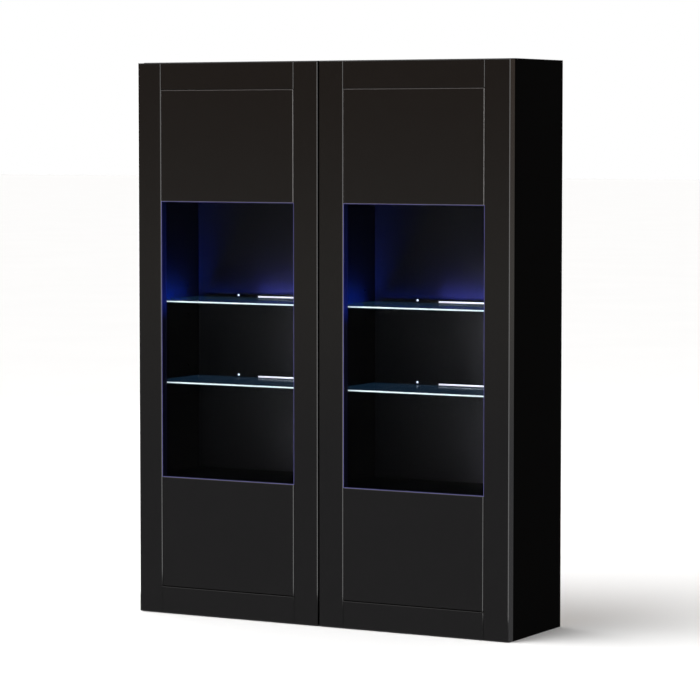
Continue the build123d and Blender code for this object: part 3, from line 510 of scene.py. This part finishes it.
def solids_of(node):
    """The (lowest, highest) corners of every separate solid of a node, in a fixed order."""
    mesh = bmesh.new()
    mesh.from_mesh(nodes[node].data)
    bmesh.ops.remove_doubles(mesh, verts=mesh.verts, dist=weld_distance)
    unseen, boxes = set(mesh.verts), []
    while unseen:
        stack, members = [next(iter(unseen))], []
        unseen.discard(stack[0])
        while stack:
            vertex = stack.pop()
            members.append(vertex.co.copy())
            for edge in vertex.link_edges:
                other = edge.other_vert(vertex)
                if other in unseen:
                    unseen.discard(other)
                    stack.append(other)
        low = Vector([min(c[i] for c in members) for i in range(3)])
        high = Vector([max(c[i] for c in members) for i in range(3)])
        boxes.append((low, high))
    mesh.free()
    return sorted(boxes, key=lambda b: [round(c, 5) for c in b[0]])


def add_box(mesh, low, high):
    """Add a box between two corners."""
    for vertex in bmesh.ops.create_cube(mesh, size=1.0)["verts"]:
        vertex.co = Vector([low[i] + (vertex.co[i] + 0.5) * (high[i] - low[i]) for i in range(3)])


def ring_of(mesh, centre, axis, radius, segments, turn=0.0):
    """A ring of new vertices round an axis, or one vertex where the radius is nothing."""
    if radius == 0:
        return [mesh.verts.new(centre)]
    side = Vector((0, 0, 1)) if abs(axis.z) < 0.5 else Vector((1, 0, 0))
    other = axis.cross(side)
    steps = [turn + 2 * math.pi * k / segments for k in range(segments)]
    return [mesh.verts.new(centre + (side * math.cos(a) + other * math.sin(a)) * radius)
            for a in steps]


def join_rings(mesh, first, second):
    """Faces between two rings of the same count, or a ring and a point."""
    count = max(len(first), len(second))
    for k in range(count):
        corners = [first[k % len(first)], first[(k + 1) % len(first)],
                   second[(k + 1) % len(second)], second[k % len(second)]]
        unique = [c for n, c in enumerate(corners) if c not in corners[:n]]
        mesh.faces.new(unique)


def add_turned(mesh, start, axis, profile, segments=28):
    """Add a solid turned round an axis. The profile lists (distance along, radius)."""
    rings = [ring_of(mesh, start + axis * along, axis, radius, segments)
             for along, radius in profile]
    for first, second in zip(rings, rings[1:]):
        join_rings(mesh, first, second)
    for end in (rings[0], rings[-1]):
        if len(end) > 2:
            mesh.faces.new(end)


def to_piece(mesh, name, body, finish, replaced=()):
    """Turn a mesh into an object that rides on a body and has a finish."""
    bmesh.ops.recalc_face_normals(mesh, faces=mesh.faces)
    data = bpy.data.meshes.new(name)
    mesh.to_mesh(data)
    mesh.free()
    piece = bpy.data.objects.new(name, data)
    bpy.context.scene.collection.objects.link(piece)
    data.materials.append(finish)
    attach(piece, body)
    if replaced:
        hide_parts(*replaced)
    return piece


print("solids in the cup screws of one door:", len(solids_of("left_door_cup_screws")))

# %% [markdown]
# ## Glass shelves
# A shelf is a sheet with its corners rounded a little and every edge ground to a small flat,
# called an arris. It could be a box with a bevel modifier. It is bevelled in the mesh instead,
# because the front edge needs its own finish, a painted white glow, and the faces can be told
# apart by where they look.

# %% Shelves
corner_radius = 4 * MM
arris = 1.2 * MM
front_facing = -0.98
for side in ("left", "right"):
    for level in ("upper", "lower"):
        node = f"{side}_{level}_glass_shelf"
        low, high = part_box(node)
        mesh = bmesh.new()
        add_box(mesh, low, high)
        upright = [e for e in mesh.edges if abs(e.verts[0].co.z - e.verts[1].co.z) > arris]
        bmesh.ops.bevel(mesh, geom=upright, offset=corner_radius, segments=4, affect="EDGES",
                        profile=0.5)
        rim = [e for e in mesh.edges if len(e.link_faces) == 2
               and abs(e.verts[0].co.z - e.verts[1].co.z) < arris]
        bmesh.ops.bevel(mesh, geom=rim, offset=arris, segments=2, affect="EDGES", profile=0.5)
        shelf = to_piece(mesh, f"{side}_{level}_shelf", "carcass",
                         finishes["shelf_glass"], [node])
        # The front faces take the painted edge glow.
        shelf.data.materials.append(shelf_edge_painted_glow)
        for face in shelf.data.polygons:
            if face.normal.y < front_facing:
                face.material_index = 1
        print(shelf.name, "faces:", len(shelf.data.polygons))

# %% [markdown]
# ## Lamps
# The clip on the back of each shelf carries a strip of diodes behind a half-round opal lens, and
# a small domed spot sits on the back beside it. A flat strip would catch the light like paper, so
# the lens is a rod of half-round section, and the dome is turned, with a thin nickel bezel round
# its foot. None of these is mirrored in the boards, where it would only leave bright specks.

# %% Lenses, domes and bezels
lens_steps = 8
dome_steps, dome_share = 6, 0.8
bezel_profile = ((0, 1), (0.25, 1), (0.35, 0.93), (0.35, 0.82), (0, 0.82))
mesh = bmesh.new()
for low, high in solids_of("led_light_bars"):
    centre_z, radius = (low.z + high.z) / 2, (high.z - low.z) / 2
    depth = high.y - low.y
    arc = [math.pi * k / lens_steps for k in range(lens_steps + 1)]
    ends = []
    for x in (low.x, high.x):
        ends.append([mesh.verts.new((x, high.y - depth * math.sin(a),
                                     centre_z + radius * math.cos(a))) for a in arc])
    join_rings(mesh, ends[0], ends[1])
    for end in ends:
        mesh.faces.new(end)
lenses = to_piece(mesh, "light_bar_lenses", "carcass", finishes["led_diffuser"],
                  ["led_light_bars"])

mesh, bezels = bmesh.new(), bmesh.new()
for low, high in solids_of("led_spots"):
    centre = (low + high) / 2
    radius, length = (high.z - low.z) / 2, high.y - low.y
    foot, axis = Vector((centre.x, high.y, centre.z)), Vector((0, -1, 0))
    dome = [(length * math.sin(a), dome_share * radius * math.cos(a))
            for a in [math.pi / 2 * k / dome_steps for k in range(dome_steps)]]
    add_turned(mesh, foot, axis, [*dome, (length, 0)])
    add_turned(bezels, foot, axis, [(up * length, out * radius) for up, out in bezel_profile])
domes = to_piece(mesh, "spot_domes", "carcass", finishes["led_spot"], ["led_spots"])
bezel_piece = to_piece(bezels, "spot_bezels", "carcass",
                       finishes["nickel_plated_steel"])
for lamp_piece in (lenses, domes, bezel_piece):
    lamp_piece.visible_glossy = False
print("lenses:", len(solids_of("led_light_bars")), "spots:", len(solids_of("led_spots")))

# %% [markdown]
# ## Window seals
# A bead of clear silicone closes the joint between the pane and the opening, and light from the
# shelves runs along it, painted on rather than lit. Its narrow lip takes a painted highlight that
# draws a fine blue line round each window, while the film behind the lip takes painted shade with
# a faint painted blue glow. It is a slim rail along each of the four sides, made as one mitred
# frame, and the faces behind the lip take that darker, painted-shade finish.

# %% Seals
seal_width = 0.9 * MM
seal_lip = 0.4 * MM
seal_film = 0.3 * MM
seal_set_back = 1.4 * MM


def window_opening(side):
    """Lowest and highest x and z of a door's window opening."""
    edges = [x for low, high in solids_of(f"{side}_door_glazing_beads") for x in (low.x, high.x)]
    inner = sorted({round(x, 5) for x in edges})[1:3]
    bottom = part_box(f"{side}_door_lower_panel")[1].z
    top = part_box(f"{side}_door_upper_panel")[0].z
    return inner[0], inner[1], bottom, top


for side in ("left", "right"):
    west, east, bottom, top = window_opening(side)
    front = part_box(f"{side}_door_hinge_stile")[0].y + seal_set_back
    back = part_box(f"{side}_door_window_pane")[0].y
    mesh = bmesh.new()
    rails = []
    profile = ((0, front), (seal_width, front), (seal_width, front + seal_lip),
               (seal_film, front + seal_lip), (seal_film, back), (0, back))
    for inset, y in profile:
        corners = ((west + inset, bottom + inset), (east - inset, bottom + inset),
                   (east - inset, top - inset), (west + inset, top - inset))
        rails.append([mesh.verts.new((x, y, z)) for x, z in corners])
    for first, second in zip(rails, [*rails[1:], rails[0]]):
        join_rings(mesh, first, second)
    seal = to_piece(mesh, f"{side}_window_seal", f"{side}_door", seal_lip_painted_highlight)
    # The faces behind the lip take the painted-shade body.
    seal.data.materials.append(seal_body_painted_shade)
    for face in seal.data.polygons:
        if face.center.y > front + seal_lip:
            face.material_index = 1
    print(side, "window opening:", round(east - west, 3), "by", round(top - bottom, 3))

# %% [markdown]
# ## Screws and cams
# Pan-head screws hold the hinges, and zinc cams lock the boards together. Each has a cross recess
# for the driver, which is what makes it read as a screw. The recess could be cut with a boolean.
# It is drawn instead as a cross-shaped ring of twelve corners, sunk into the head, which gives a
# clean mesh.

# %% Cross-head fasteners
cross_corners = 12
head_corners = 2 * cross_corners
head_turn = -math.pi / cross_corners


def cross_ring(mesh, centre, axis, reach, half_width):
    """Twelve vertices in the outline of a cross."""
    side = Vector((0, 0, 1)) if abs(axis.z) < 0.5 else Vector((1, 0, 0))
    other = axis.cross(side)
    made = []
    for quarter in range(4):
        turn = quarter * math.pi / 2
        along = side * math.cos(turn) + other * math.sin(turn)
        across = other * math.cos(turn) - side * math.sin(turn)
        for a, b in ((reach, -half_width), (reach, half_width), (half_width, half_width)):
            made.append(mesh.verts.new(centre + along * a + across * b))
    return made


def add_fastener(mesh, tip, axis, profile, recess):
    """A turned fastener with a cross recess in its head. Recess: (reach, half width, depth)."""
    rings = [ring_of(mesh, tip + axis * along, axis, radius, head_corners, head_turn)
             for along, radius in profile]
    mesh.faces.new(rings[0])
    for first, second in zip(rings, rings[1:]):
        join_rings(mesh, first, second)
    reach, half_width, depth = recess
    head = profile[-1][0]
    rim = cross_ring(mesh, tip + axis * head, axis, reach, half_width)
    floor = cross_ring(mesh, tip + axis * (head - depth), axis, 0.8 * reach, 0.8 * half_width)
    last = rings[-1]
    for k in range(cross_corners):
        mesh.faces.new((last[2 * k], last[2 * k + 1], rim[k]))
        mesh.faces.new((last[2 * k + 1], last[(2 * k + 2) % head_corners],
                        rim[(k + 1) % cross_corners], rim[k]))
    join_rings(mesh, rim, floor)
    mesh.faces.new([floor[k] for k in (2, 5, 8, 11)])
    for k in (0, 3, 6, 9):
        mesh.faces.new((floor[k - 1], floor[k], floor[k + 1], floor[k + 2]))


print("corners of a cross recess:", cross_corners)

# %% [markdown]
# A screw's lengths follow from the solid that it stands for: the narrow sides give the head's
# radius, and the long side runs from the tip to the top of the head. The shank, the rounding of
# the head and the recess are shares of the head's radius and height.

# %% Screws
shank_share, tip_share, taper_share = 0.5, 0.6, 0.15
head_rounding, crown_share = ((0, 1), (0.45, 1), (0.8, 0.86)), 0.62
slot_reach, slot_half_width, slot_depth = 0.5, 0.13, 0.6


def screws(name, node, body, slot, head_end, head_height):
    """Screws in place of a node's solids. head_end gives the way a solid's head looks."""
    mesh = bmesh.new()
    for low, high in solids_of(node):
        axis = head_end(low, high)
        reach = high - low
        length = abs(reach.dot(axis))
        across = [reach[i] for i in range(3) if abs(axis[i]) < 0.5]
        head = min(across) / 2
        tip = (low + high) / 2 - axis * length / 2
        shank = shank_share * head
        neck = length - head_height
        rounding = [(neck + up * head_height, out * head) for up, out in head_rounding]
        profile = [(0, tip_share * shank), (taper_share * neck, shank), (neck, shank),
                   *rounding, (length, crown_share * head)]
        recess = (slot_reach * head, slot_half_width * head, slot_depth * head_height)
        add_fastener(mesh, tip, axis, profile, recess)
    to_piece(mesh, name, body, finishes[slot], [node])
    print(name, "made:", len(solids_of(node)))


cup_head_height = 1.0 * MM
plate_head_height = 1.6 * MM
for side in ("left", "right"):
    screws(f"{side}_cup_pan_screws", f"{side}_door_cup_screws", f"{side}_door",
           "nickel_plated_steel", lambda low, high: Vector((0, 1, 0)), cup_head_height)
screws("hinge_pan_screws", "hinge_screws", "carcass", "nickel_plated_steel",
       lambda low, high: Vector((-math.copysign(1, low.x), 0, 0)), plate_head_height)

# %% [markdown]
# A cam sits in a bore, flush with its board, so its visible end is a disc with a small bevel, a
# cross recess and nothing else. The way it looks comes from the board round it: the cam's face
# and the board's face lie in one plane, give or take a tenth of a millimetre. The table of its
# face lists how far each ring lies below the rim and its share of the radius.

# %% Cams
slack = MM / 10
cam_face = ((0.6 * MM, 1.0), (0.1 * MM, 0.94), (0.1 * MM, 0.8), (0.5 * MM, 0.76))
cam_slot_reach, cam_slot_depth = 0.55, 2.5 * MM


def open_end(low, high):
    """The way a cam looks: the side where it meets a face of the board that holds it."""
    reach = high - low
    axis = min(range(3), key=lambda i: reach[i])
    for node in nodes:
        if not node.endswith(("_board", "top_panel", "bottom_panel")):
            continue
        board_low, board_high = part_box(node)
        inside = all(board_low[i] - slack < low[i] and high[i] < board_high[i] + slack
                     for i in range(3))
        if inside:
            way = Vector((0, 0, 0))
            near_high = abs(board_high[axis] - high[axis]) < abs(low[axis] - board_low[axis])
            way[axis] = 1 if near_high else -1
            return way
    raise ValueError("a cam has no board round it")


mesh = bmesh.new()
for low, high in solids_of("cam_locks"):
    axis = open_end(low, high)
    length = abs((high - low).dot(axis))
    radius = max(high - low) / 2
    tip = (low + high) / 2 - axis * length / 2
    profile = [(0, radius), *((length - below, out * radius) for below, out in cam_face)]
    recess = (cam_slot_reach * radius, slot_half_width * radius, cam_slot_depth)
    add_fastener(mesh, tip, axis, profile, recess)
to_piece(mesh, "cam_discs", "carcass", finishes["zinc_alloy"], ["cam_locks"])
print("cams:", len(solids_of("cam_locks")))

# %% [markdown]
# ## Bumpers
# Where a door meets the partition, small rubber buttons stop it. They are domed, so that they
# touch at one soft point, and turned from a short profile.

# %% Bumper buttons
button_steps, straight_share = 7, 0.3
mesh = bmesh.new()
for low, high in solids_of("door_bumpers"):
    radius, length = (high.x - low.x) / 2, high.y - low.y
    foot = Vector(((low.x + high.x) / 2, high.y, (low.z + high.z) / 2))
    dome = [(length * (straight_share + (1 - straight_share) * math.sin(a)), radius * math.cos(a))
            for a in [math.pi / 2 * k / button_steps for k in range(button_steps)]]
    add_turned(mesh, foot, Vector((0, -1, 0)), [(0, radius), *dome, (length, 0)])
to_piece(mesh, "bumper_buttons", "carcass", finishes["bumper_rubber"],
         ["door_bumpers"])
print("bumpers:", len(solids_of("door_bumpers")))

# %% [markdown]
# ## Soft edges on stamped and moulded parts
# Pressed steel and moulded plastic have no knife edges. The drawing's parts keep their shape, and
# a weld and a bevel modifier round their edges by a fraction of a millimetre, which catches a
# thin highlight.

# %% Soft edges
edge_widths_mm = {"hinge_arms": 0.3, "hinge_mounting_plates": 0.4, "led_clips": 0.5,
                  "cable_grommets": 0.4, "latch_housings": 0.3}
for name, width in edge_widths_mm.items():
    weld = nodes[name].modifiers.new("join_patches", "WELD")
    weld.merge_threshold = weld_distance
    soften = nodes[name].modifiers.new("soft_edges", "BEVEL")
    soften.width = width * MM
    soften.segments = 2
    soften.limit_method = "ANGLE"
    soften.angle_limit = math.radians(50)
    print("softened:", name)

# %% [markdown]
# ## Studio
# A plain pale floor and soft light, as for a catalogue. A gloss black cabinet shows almost
# nothing but reflections, so the light is planned by what the doors mirror: their faces look at a
# dim, even surround, and the narrow bevels round every panel look at large bright panels to the
# right, behind on the left, and overhead, which draws the fine pale lines. The floor isn't
# mirrored.

# %% Floor
floor_half_width = 60.0
mesh = bmesh.new()
bmesh.ops.create_grid(mesh, x_segments=8, y_segments=8, size=floor_half_width)
data = bpy.data.meshes.new("studio_floor")
mesh.to_mesh(data)
mesh.free()
floor = bpy.data.objects.new("studio_floor", data)
bpy.context.scene.collection.objects.link(floor)
material, tree, coordinates, output = start_material("pale_floor_paper")
mottle = add_node(tree, "ShaderNodeTexNoise", {"Scale": 1.5, "Detail": 3.0},
                  {"Vector": (coordinates, "Object")})
paper = add_node(tree, "ShaderNodeValToRGB", {}, {"Fac": (mottle, "Fac")})
paper.color_ramp.elements[0].color = linear("#F0F0F0")
paper.color_ramp.elements[1].color = linear("#F4F4F4")
shader = add_node(tree, "ShaderNodeBsdfPrincipled", {"Roughness": 0.8, "Specular IOR Level": 0.1},
                  {"Base Color": (paper, "Color")})
finish_material(tree, output, shader)
data.materials.append(material)
floor.visible_glossy = False
floor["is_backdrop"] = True
print("floor:", 2 * floor_half_width, "m across")

# %% [markdown]
# The surround is a sky with no sun: a grey that changes only with height, a little warmer just
# above the horizon, as in a room with wooden furniture. Each band has a height, from 0 straight
# down to 1 straight up, and a colour. The doors mirror it. The eye sees plain white instead, which
# a test for camera rays mixes in.

# %% Surround
room_ends = (0.45, 0.60)
room_bands = ((0.45, (0.30, 0.30, 0.31)), (0.475, (0.40, 0.38, 0.35)),
              (0.51, (0.28, 0.22, 0.18)), (0.6, (0.30, 0.28, 0.26)))
world = bpy.data.worlds.new("soft_surround")
bpy.context.scene.world = world
world.use_nodes = True
tree = world.node_tree
tree.nodes.clear()
way = add_node(tree, "ShaderNodeTexCoord")
height = add_node(tree, "ShaderNodeSeparateXYZ", {}, {"Vector": (way, "Generated")})
level = add_node(tree, "ShaderNodeMapRange", {"From Min": -1.0, "From Max": 1.0},
                 {"Value": (height, "Z")})
room = add_node(tree, "ShaderNodeValToRGB", {}, {"Fac": (level, "Result")})
for element, grey in zip(room.color_ramp.elements, room_ends):
    element.color = (grey, grey, grey, 1.0)
for position, colour in room_bands:
    room.color_ramp.elements.new(position).color = (*colour, 1.0)
surround = add_node(tree, "ShaderNodeBackground", {"Strength": 1.0}, {"Color": (room, "Color")})
backdrop = add_node(tree, "ShaderNodeBackground", {"Color": linear("#FFFFFF"), "Strength": 1.0})
seen = add_node(tree, "ShaderNodeLightPath")
both = add_node(tree, "ShaderNodeMixShader", {},
                {"Fac": (seen, "Is Camera Ray"), 1: (surround, "Background"),
                 2: (backdrop, "Background")})
add_node(tree, "ShaderNodeOutputWorld", {}, {"Surface": (both, "Shader")})
print("surround levels:", len(room.color_ramp.elements))

# %% [markdown]
# The lamps are a soft sun for an even floor, and three large panels for the bevels. None of them
# shows itself to the camera. The panels show in the reflections, and the sun doesn't, because it
# is so wide that it would whiten every edge that looks up. A panel's row holds its place, its
# width and height in metres, and its watts.

# %% Studio lamps
def add_area(name, place, target, width, height, watts, colour="#FFFFFF", seen_in_gloss=True):
    """A rectangular lamp at a place, turned towards a target."""
    lamp = bpy.data.lights.new(name, "AREA")
    lamp.shape = "RECTANGLE"
    lamp.size, lamp.size_y = width, height
    lamp.energy = watts
    lamp.color = linear(colour)[:3]
    holder = bpy.data.objects.new(name, lamp)
    bpy.context.scene.collection.objects.link(holder)
    holder.location = place
    away = (Vector(target) - Vector(place)).normalized()
    holder.rotation_euler = away.to_track_quat("-Z", "Y").to_euler()
    holder.visible_camera = False
    holder.visible_transmission = seen_in_gloss
    holder.visible_glossy = seen_in_gloss
    return holder


sun = bpy.data.lights.new("soft_sun", "SUN")
sun.energy = 2.7
sun.angle = math.radians(50)
sun_holder = bpy.data.objects.new("soft_sun", sun)
bpy.context.scene.collection.objects.link(sun_holder)
sun_holder.visible_glossy = False
sun_way = Vector((0.45, 0.5, -0.85))
sun_holder.rotation_euler = sun_way.to_track_quat("-Z", "Y").to_euler()
low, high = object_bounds()
middle = (Vector(low) + Vector(high)) / 2
studio_panels = {
    "right_panel": ((4.6, -2.5, 0.7), 2.0, 2.8, 56),
    "left_rear_panel": ((-4.8, 2.4, 0.7), 2.0, 2.8, 110),
    "overhead_panel": ((-1.2, -0.4, 3.6), 4.0, 3.0, 38),
}
for name, (place, width, height, watts) in studio_panels.items():
    add_area(name, place, middle, width, height, watts)
    print(name, "watts:", watts)

# %% [markdown]
# ## Light inside the cabinet
# The visible lamps are small, so the glow that they throw on the boards is helped by lamps with
# no shape of their own. Each is a thin strip that fills a box, turned towards what it lights, and
# neither the camera nor a mirror can see it.

# %% Glow tool
strip_thickness = 6 * MM
glows = []


def add_glow(name, low, high, towards, watts, colour):
    """A thin lamp that fills the box from low to high, seen only by what it lights."""
    place, size = (Vector(low) + Vector(high)) / 2, Vector(high) - Vector(low)
    longest = max(range(3), key=lambda i: size[i])
    holder = add_area(name, place, place + Vector(towards), strip_thickness, size[longest], watts,
                      colour, False)
    along = Vector((0, 0, 0))
    along[longest] = 1
    back = -Vector(towards).normalized()
    across = along.cross(back).normalized()
    holder.rotation_euler = Matrix((across, along, back)).transposed().to_euler()
    glows.append(name)


print("a strip is", round(strip_thickness / MM), "mm thick")

# %% [markdown]
# Over each upper shelf, two blue strips lie beside the left wall, turned towards it, a third runs
# along the back, and a lavender one lies by the light bar. Three soft white strips stand upright
# on the right, one under, one between and one over the shelves, and light the back. The gaps are
# measured from the walls, the back and the shelf, so the lamps move with the boards.

# %% Glow lamps
up, to_wall, to_back = (0, 0, 1), (-1, 0, 0.6), (-0.2, 1, 0)
deep_blue, lavender, white = "#1947FF", "#6A70FF", "#FFFFFF"
wall_gap, end_gap, fill_gap, fill_from_back = 22 * MM, 20 * MM, 110 * MM, 90 * MM
over_wall, over_back, over_bar = 4 * MM, 6 * MM, 7 * MM
back_gap, bar_gap = 9 * MM, 15 * MM
bar_from, bar_to = 255 * MM, 120 * MM
back_watts, bar_watts = 0.3, 0.5
over_board, under_shelf, upper_reach = 5 * MM, 10 * MM, 60 * MM
wall_strips = (("front", -95 * MM, -40 * MM, 2.2), ("rear", -40 * MM, 40 * MM, 1.0))
for side, west_wall, east_wall in (("left", "left_side_panel", "left_partition_board"),
                                   ("right", "right_partition_board", "right_side_panel")):
    west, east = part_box(west_wall)[1].x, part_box(east_wall)[0].x
    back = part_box(f"{side}_back_panel")[0].y
    low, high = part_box(f"{side}_upper_glass_shelf")
    top = high.z
    for part, front, rear, watts in wall_strips:
        add_glow(f"{side}_wall_{part}_glow", (west + wall_gap, front, top + over_wall),
                 (west + wall_gap, rear, top + over_wall), to_wall, watts, deep_blue)
    add_glow(f"{side}_back_glow", (west + end_gap, back - back_gap, top + over_back),
             (east - end_gap, back - back_gap, top + over_back), up, back_watts, deep_blue)
    add_glow(f"{side}_bar_glow", (east - bar_from, back - bar_gap, top + over_bar),
             (east - bar_to, back - bar_gap, top + over_bar), up, bar_watts, lavender)
    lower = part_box(f"{side}_lower_glass_shelf")
    fills = (("lower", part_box(f"{side}_lower_board")[1].z, lower[0].z, 0.32),
             ("middle", lower[1].z, low.z, 0.32), ("upper", top, top + upper_reach, 0.12))
    for level, bottom, ceiling, watts in fills:
        add_glow(f"{side}_{level}_fill",
                 (east - fill_gap, back - fill_from_back, bottom + over_board),
                 (east - fill_gap, back - fill_from_back, ceiling - under_shelf),
                 to_back, watts, white)
print("glow lamps:", len(glows))

# %% [markdown]
# ## Camera
# A long lens from well to the right and a little above the middle of the cabinet keeps the
# uprights nearly parallel, as in a catalogue picture.

# %% Camera
place = (3.311, -5.935, 1.048)
tilt_down, turn_left = 3.92, 29.10
lens = bpy.data.cameras.new("catalogue_camera")
lens.lens = 163.0
lens.sensor_width = 36.0
lens.clip_end = 200.0
camera = bpy.data.objects.new("catalogue_camera", lens)
bpy.context.scene.collection.objects.link(camera)
camera.location = place
camera.rotation_euler = (math.radians(90 - tilt_down), 0.0, math.radians(turn_left))
bpy.context.scene.camera = camera
bpy.context.scene.view_settings.view_transform = "Standard"
print("camera distance:", round((camera.location - middle).length, 2))
